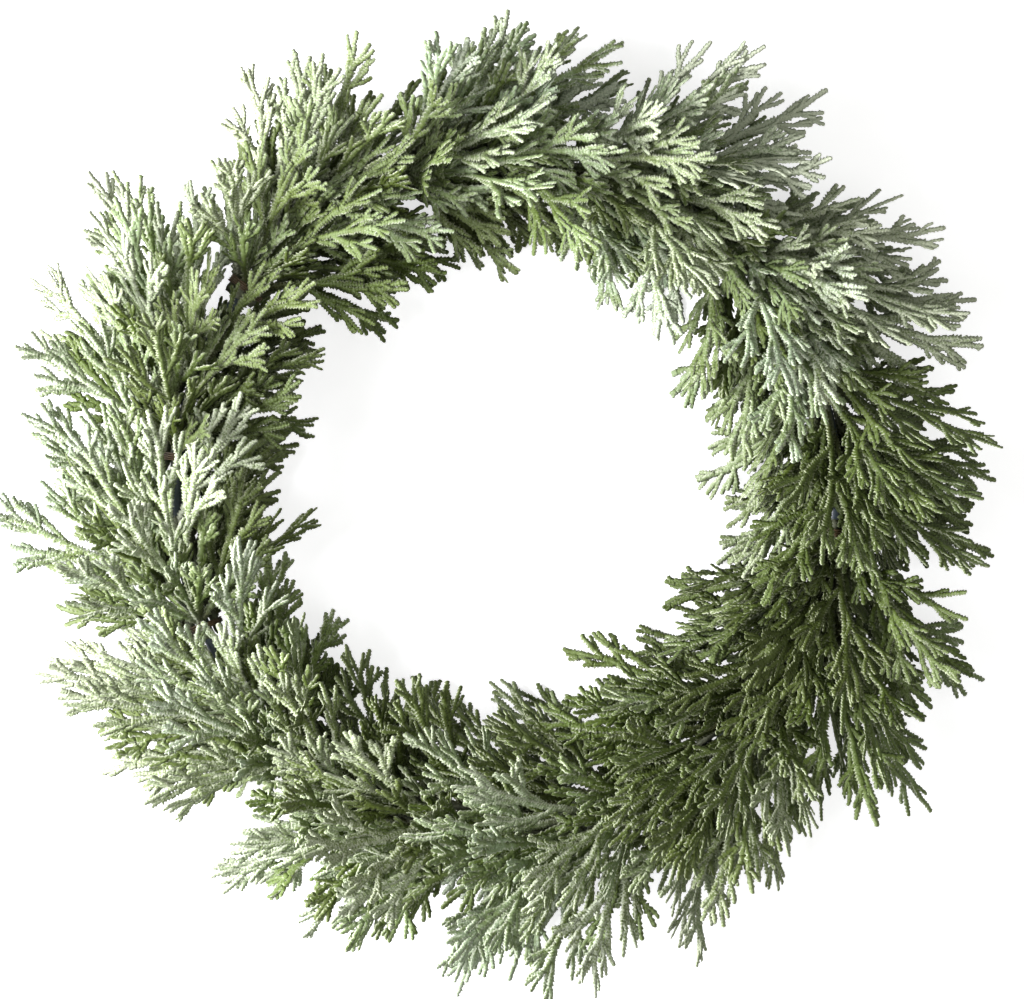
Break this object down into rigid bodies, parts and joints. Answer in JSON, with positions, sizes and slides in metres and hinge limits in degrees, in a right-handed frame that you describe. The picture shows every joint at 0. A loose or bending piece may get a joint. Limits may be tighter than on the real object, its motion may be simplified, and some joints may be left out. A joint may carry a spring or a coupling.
{
  "type": "evergreen wreath",
  "caption": "Round wreath of flat, forked evergreen sprays bound clockwise round a thin dark ring, lying face up on its back.",
  "frame": {"origin": "middle of the wreath's outer box, on the surface it lies on", "axes": "+Z out of the wreath's front, away from the surface; +Y to the top of the wreath as it is shown; +X to its right"},
  "size_m": [0.4696, 0.4614, 0.0971],
  "materials": {
    "ring_coating": "satin dark slate coating",
    "binding": "matte brown binding tape",
    "foliage_frosted": "matte frosted grey-green",
    "foliage_green": "matte mid green, lightly frosted",
    "foliage_olive": "matte dark olive green"
  },
  "bodies": {
    "root": {"ring": "ring_coating", "binding_01": "binding", "binding_02": "binding", "binding_03": "binding", "binding_04": "binding", "binding_05": "binding", "binding_06": "binding", "binding_07": "binding", "binding_08": "binding", "binding_09": "binding", "binding_10": "binding", "binding_11": "binding", "binding_12": "binding", "sprig_outer_01": "foliage_frosted", "sprig_front_01": "foliage_green", "sprig_inner_01": "foliage_olive", "sprig_outer_02": "foliage_green", "sprig_front_02": "foliage_olive", "sprig_inner_02": "foliage_frosted", "sprig_outer_03": "foliage_olive", "sprig_front_03": "foliage_frosted", "sprig_inner_03": "foliage_green", "sprig_outer_04": "foliage_frosted", "sprig_front_04": "foliage_green", "sprig_inner_04": "foliage_olive", "sprig_outer_05": "foliage_green", "sprig_front_05": "foliage_olive", "sprig_inner_05": "foliage_frosted", "sprig_outer_06": "foliage_olive", "sprig_front_06": "foliage_frosted", "sprig_inner_06": "foliage_green", "sprig_outer_07": "foliage_frosted", "sprig_front_07": "foliage_green", "sprig_inner_07": "foliage_olive", "sprig_outer_08": "foliage_green", "sprig_front_08": "foliage_olive", "sprig_inner_08": "foliage_frosted", "sprig_outer_09": "foliage_olive", "sprig_front_09": "foliage_frosted", "sprig_inner_09": "foliage_green", "sprig_outer_10": "foliage_frosted", "sprig_front_10": "foliage_green", "sprig_inner_10": "foliage_olive", "sprig_outer_11": "foliage_green", "sprig_front_11": "foliage_olive", "sprig_inner_11": "foliage_frosted", "sprig_outer_12": "foliage_olive", "sprig_front_12": "foliage_frosted", "sprig_inner_12": "foliage_green"}
  },
  "joints": []
}
